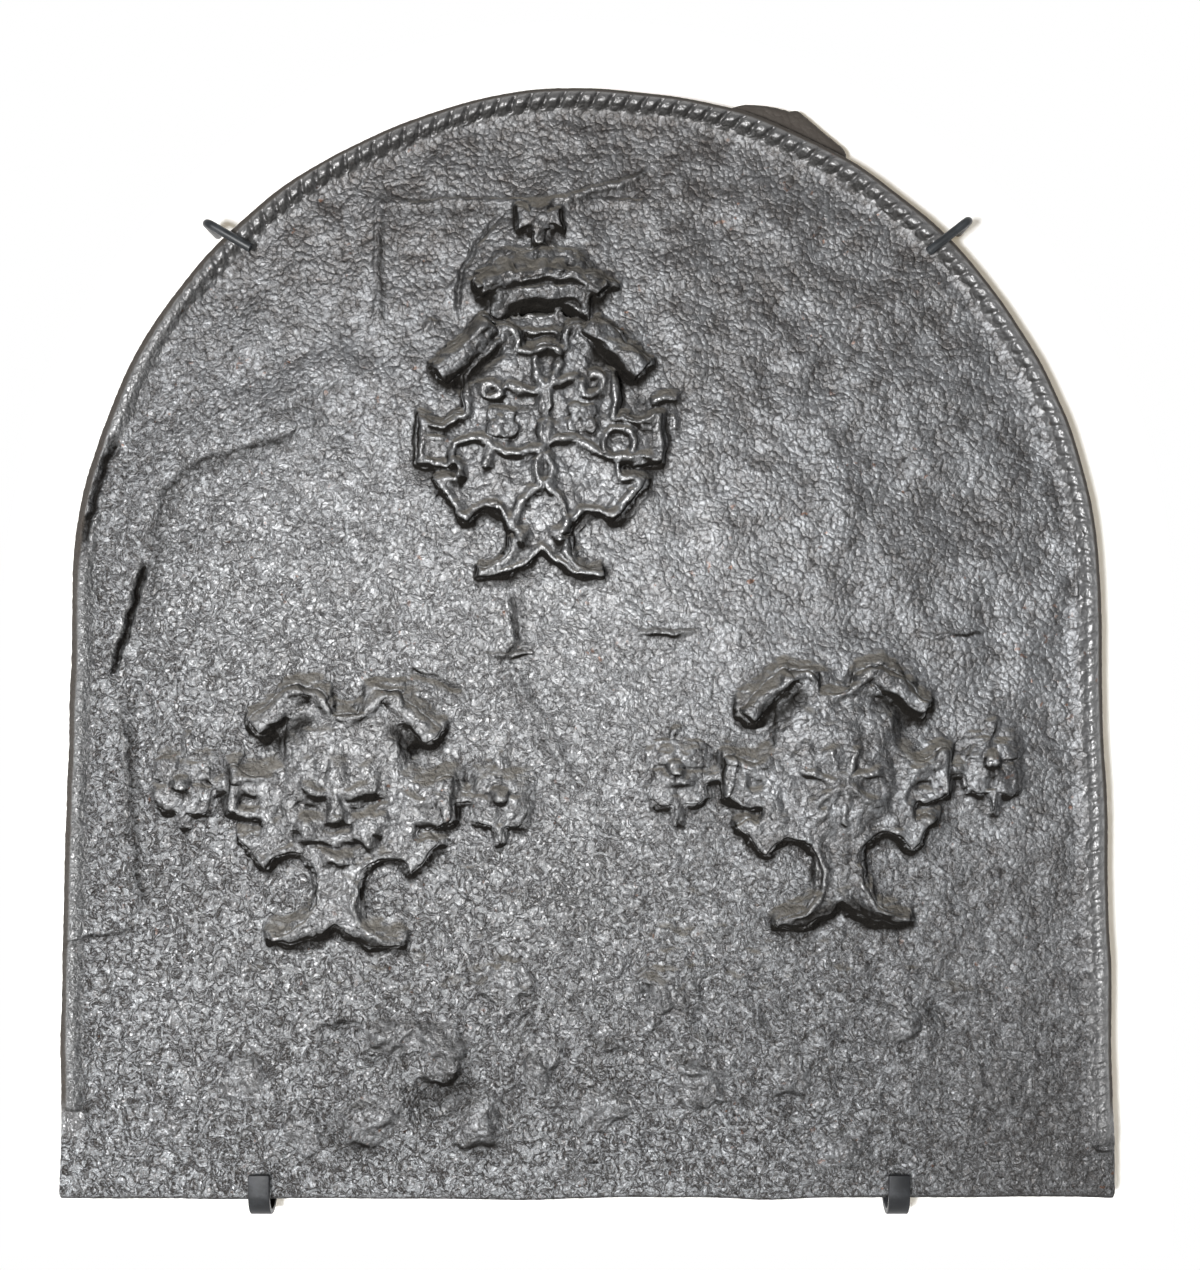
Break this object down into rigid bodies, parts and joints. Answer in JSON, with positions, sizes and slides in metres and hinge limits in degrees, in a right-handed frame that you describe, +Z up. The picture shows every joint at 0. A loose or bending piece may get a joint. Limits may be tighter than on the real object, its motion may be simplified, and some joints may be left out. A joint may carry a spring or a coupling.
{
  "type": "fireback",
  "caption": "Arched cast-iron fireback with a twisted-rope border and raised scrolled shields, hung on flat hooks and kept upright by turning wall clips.",
  "frame": {"origin": "on the wall plane, at the middle of the four hook screws", "axes": "+Z up, -Y out of the wall towards the viewer, +X to the viewer's right"},
  "size_m": [0.797, 0.084, 0.8505],
  "materials": {
    "iron": "sand-cast and pebbled, blackened with graphite polish",
    "worn_iron": "sand-cast relief, worn, with a brownish bloom in its hollows",
    "black_steel": "satin black",
    "screw_steel": "plain zinc-plated",
    "black_sleeve": "satin black shrunk tube"
  },
  "bodies": {
    "wall_fixings": {"hook_left": "black_steel", "hook_right": "black_steel", "hook_screws": "screw_steel"},
    "plate": {"plate_slab": "iron", "rope_left": "iron", "rope_arch": "iron", "rope_right": "iron", "gate_stub": "iron", "board_ridge_top": "iron", "board_ridge_side": "iron", "crown_shield": "worn_iron", "crown_shield_roll_left": "worn_iron", "crown_shield_roll_right": "worn_iron", "crown_band": "worn_iron", "crown_cap": "worn_iron", "crown_cross": "worn_iron", "cord_knot": "worn_iron", "crown_shield_flower_left": "worn_iron", "crown_shield_flower_right": "worn_iron", "mask_shield": "worn_iron", "mask_shield_roll_left": "worn_iron", "mask_shield_roll_right": "worn_iron", "lion_mask": "worn_iron", "mask_shield_flower_left": "worn_iron", "mask_shield_flower_right": "worn_iron", "star_shield": "worn_iron", "star_shield_roll_left": "worn_iron", "star_shield_roll_right": "worn_iron", "star_boss": "worn_iron", "star_shield_flower_left": "worn_iron", "star_shield_flower_right": "worn_iron"},
    "clip_left": {"clip_rod_left": "screw_steel", "clip_sleeve_left": "black_sleeve"},
    "clip_right": {"clip_rod_right": "screw_steel", "clip_sleeve_right": "black_sleeve"}
  },
  "joints": [
    {"name": "plate_lift", "type": "slide", "parent": "wall_fixings", "child": "plate", "axis": [0, 0, 1], "range_m": [0, 0.012]},
    {"name": "clip_left_turn", "type": "hinge", "parent": "wall_fixings", "child": "clip_left", "pos_m": [-0.2784, 0, 0.6989], "axis": [0, -1, 0], "range_deg": [0, 120]},
    {"name": "clip_right_turn", "type": "hinge", "parent": "wall_fixings", "child": "clip_right", "pos_m": [0.29117, 0, 0.70067], "axis": [0, 1, 0], "range_deg": [0, 120]}
  ]
}
